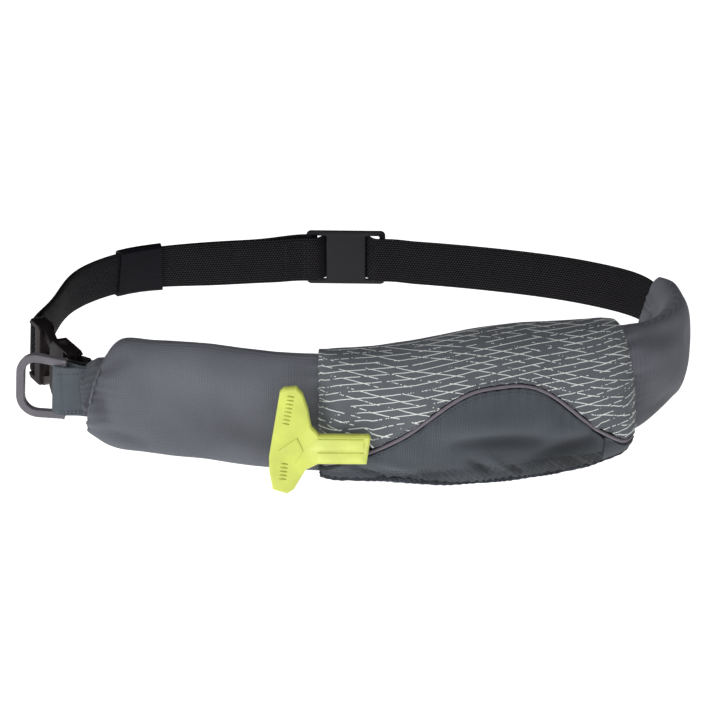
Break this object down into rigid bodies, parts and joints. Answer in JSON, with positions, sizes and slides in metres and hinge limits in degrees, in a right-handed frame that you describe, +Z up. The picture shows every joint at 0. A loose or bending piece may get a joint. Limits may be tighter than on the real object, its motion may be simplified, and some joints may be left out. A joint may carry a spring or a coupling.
{
  "type": "inflatable belt pack",
  "caption": "Waist belt with a soft printed pouch between two padded cloth sleeves, a buckle, a slider, a swinging D-ring and a T-shaped pull handle.",
  "frame": {"origin": "centre of the waist opening, at the belt's mid height", "axes": "+Z up as worn, -Y towards the front of the pouch, +X towards the wearer's left, away from the buckle"},
  "size_m": [0.5021, 0.331, 0.1176],
  "materials": {
    "black_webbing": "ribbed woven webbing, matt",
    "grey_webbing": "plain woven webbing, matt",
    "black_plastic": "satin moulded",
    "buckle_plastic": "satin moulded",
    "ring_plastic": "satin moulded",
    "sleeve_cloth": "coated plain weave, matt",
    "pouch_cloth": "coated plain weave, matt",
    "printed_cloth": "coated plain weave with a pale line print",
    "hem_cloth": "plain weave binding, gathered",
    "piping_cord": "covered cord, matt",
    "handle_plastic": "satin moulded, lime yellow",
    "lanyard_cord": "braided cord"
  },
  "bodies": {
    "belt": {"strap": "black_webbing", "strap_slider": "black_plastic", "strap_keeper": "black_plastic", "buckle_socket": "buckle_plastic", "buckle_prongs": "buckle_plastic", "sleeve_long": "sleeve_cloth", "sleeve_end": "sleeve_cloth", "sleeve_short": "sleeve_cloth", "pouch_back": "pouch_cloth", "pouch_top_panel": "printed_cloth", "pouch_flap": "pouch_cloth", "pouch_corner": "pouch_cloth", "pouch_hem": "hem_cloth", "piping": "piping_cord", "ring_tab": "grey_webbing", "pull_handle": "handle_plastic", "handle_lanyard": "lanyard_cord"},
    "ring": {"d_ring": "ring_plastic"}
  },
  "joints": [
    {"name": "ring_swing", "type": "hinge", "parent": "belt", "child": "ring", "pos_m": [-0.20885, -0.11588, 0.00052], "axis": [0.0865, -0.0105, 0.9962], "range_deg": [-50, 110]}
  ]
}
